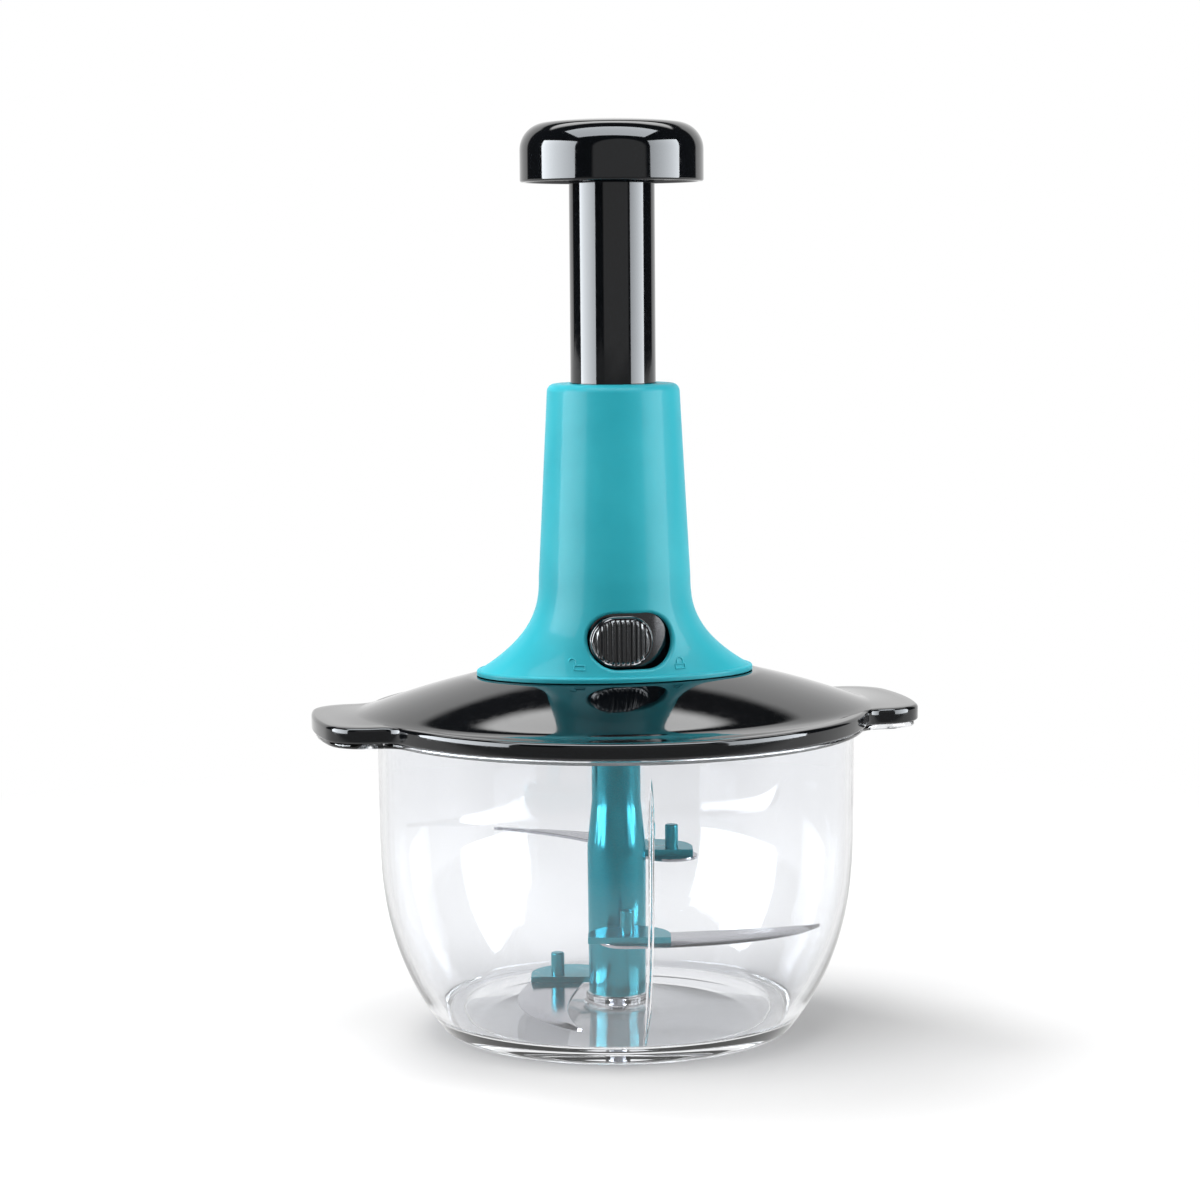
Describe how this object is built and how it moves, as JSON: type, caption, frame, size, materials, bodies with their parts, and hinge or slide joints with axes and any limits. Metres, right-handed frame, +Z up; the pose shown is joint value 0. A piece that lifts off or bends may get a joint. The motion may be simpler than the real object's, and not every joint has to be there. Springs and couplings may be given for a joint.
{
  "type": "plunger food chopper",
  "caption": "Hand-press food chopper: clear bowl, black eared lid with a tapered push housing and palm knob, and curved steel blades on a turning shaft.",
  "frame": {"origin": "centre of the bowl's foot, on the table", "axes": "+Z up the plunger, X through the lid's two ears, -Y the side with the lock button"},
  "size_m": [0.1936, 0.161, 0.2888],
  "materials": {
    "clear_san": "clear gloss",
    "black_abs": "high gloss",
    "cyan_abs": "gloss",
    "teal_abs": "gloss",
    "blade_steel": "mirror polished",
    "plain_steel": "bright zinc",
    "white_acetal": "satin",
    "grey_silicone": "soft satin"
  },
  "bodies": {
    "bowl": {"bowl": "clear_san", "pivot_pin": "plain_steel"},
    "lid_unit": {"lid_cover": "black_abs", "lid_gasket": "grey_silicone", "clutch_cup": "black_abs", "cup_screws": "plain_steel", "thrust_washer": "plain_steel", "spring_seat": "white_acetal", "return_spring": "plain_steel", "housing": "cyan_abs", "housing_screws": "plain_steel", "top_bush": "white_acetal", "switch_bezel": "black_abs", "lock_guide": "white_acetal"},
    "plunger": {"knob_cap": "black_abs", "knob_base": "black_abs", "knob_screws": "plain_steel", "plunger_tube": "black_abs", "stop_ring": "white_acetal", "rod_anchor": "white_acetal", "rod_clip": "plain_steel", "twist_rod": "plain_steel"},
    "drive": {"drive_nut": "white_acetal", "drive_socket": "white_acetal", "clutch_spring": "plain_steel"},
    "lock": {"lock_button": "black_abs", "lock_plate": "white_acetal"},
    "blade_unit": {"blade_shaft": "teal_abs", "pivot_bush": "white_acetal", "upper_blade": "blade_steel", "middle_blade": "blade_steel", "lower_blade": "blade_steel", "upper_blade_pin": "teal_abs", "middle_blade_pin": "teal_abs", "lower_blade_pin": "teal_abs"}
  },
  "joints": [
    {"name": "lid_lift", "type": "slide", "parent": "bowl", "child": "lid_unit", "axis": [0, 0, 1], "range_m": [0, 0.12]},
    {"name": "plunger_slide", "type": "slide", "parent": "lid_unit", "child": "plunger", "axis": [0, 0, -1], "range_m": [0, 0.06], "stiffness_N_per_m": 150, "springref_m": -0.03, "deforming": ["return_spring"]},
    {"name": "drive_spin", "type": "hinge", "parent": "lid_unit", "child": "drive", "pos_m": [0, 0, 0.1], "axis": [0, 0, 1], "continuous": true},
    {"name": "lock_slide", "type": "slide", "parent": "lid_unit", "child": "lock", "axis": [1, 0, 0], "range_m": [0, 0.006]},
    {"name": "blade_spin", "type": "hinge", "parent": "bowl", "child": "blade_unit", "pos_m": [0, 0, 0.02], "axis": [0, 0, 1], "continuous": true}
  ],
  "couplings": [
    {"joint": "drive_spin", "follows": "plunger_slide", "rad_per_m": -157.08},
    {"joint": "blade_spin", "follows": "plunger_slide", "rad_per_m": -157.08}
  ]
}
